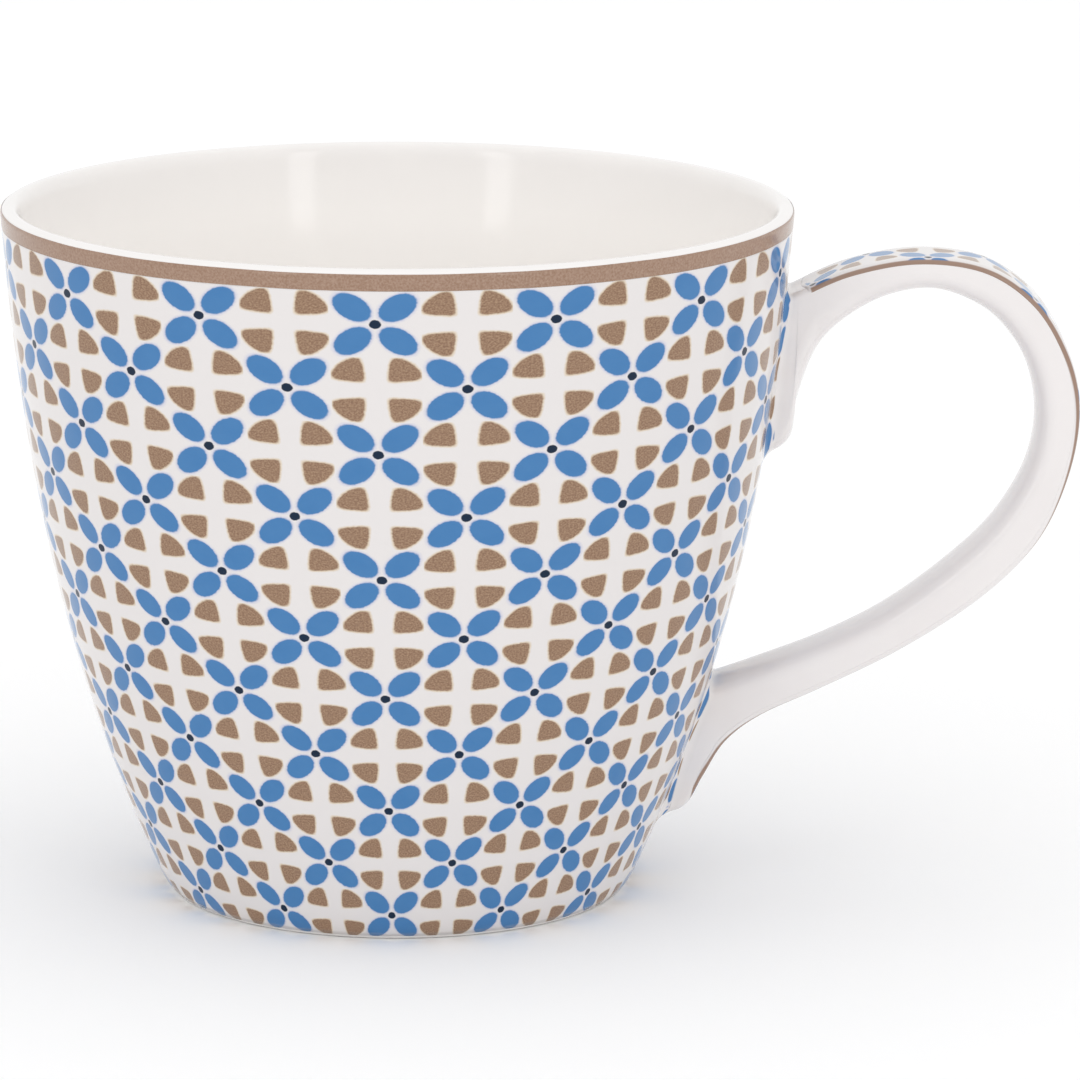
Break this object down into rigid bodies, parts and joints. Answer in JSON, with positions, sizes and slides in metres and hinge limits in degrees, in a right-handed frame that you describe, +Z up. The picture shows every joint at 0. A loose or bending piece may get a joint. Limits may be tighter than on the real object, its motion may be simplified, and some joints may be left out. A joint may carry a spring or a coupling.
{
  "type": "mug",
  "caption": "Glazed ceramic mug with a tapering wall, a rounded lip, a turned foot ring and an ear-shaped strap handle, printed all over with a repeating petal pattern.",
  "frame": {"origin": "on the cup's axis, in the plane that the foot ring stands on", "axes": "+Z up along the cup's axis, +X from the axis towards the handle, +Y to the far side when the handle points right"},
  "size_m": [0.1361, 0.1, 0.088],
  "materials": {
    "cup_glaze": "clear gloss glaze over white fired clay",
    "handle_glaze": "clear gloss glaze over white fired clay",
    "slip_glaze": "fired luting slip under clear gloss glaze",
    "wall_print": "fired transfer print, blue petals and brown quarters on the white glaze",
    "band_print": "fired brown band, slightly grainy",
    "handle_print": "fired transfer strip with brown edge lines"
  },
  "bodies": {
    "root": {"cup_body": "cup_glaze", "handle": "handle_glaze", "upper_slip_joint": "slip_glaze", "lower_slip_joint": "slip_glaze", "wall_transfer_front": "wall_print", "wall_transfer_back": "wall_print", "rim_band": "band_print", "handle_transfer": "handle_print"}
  },
  "joints": []
}
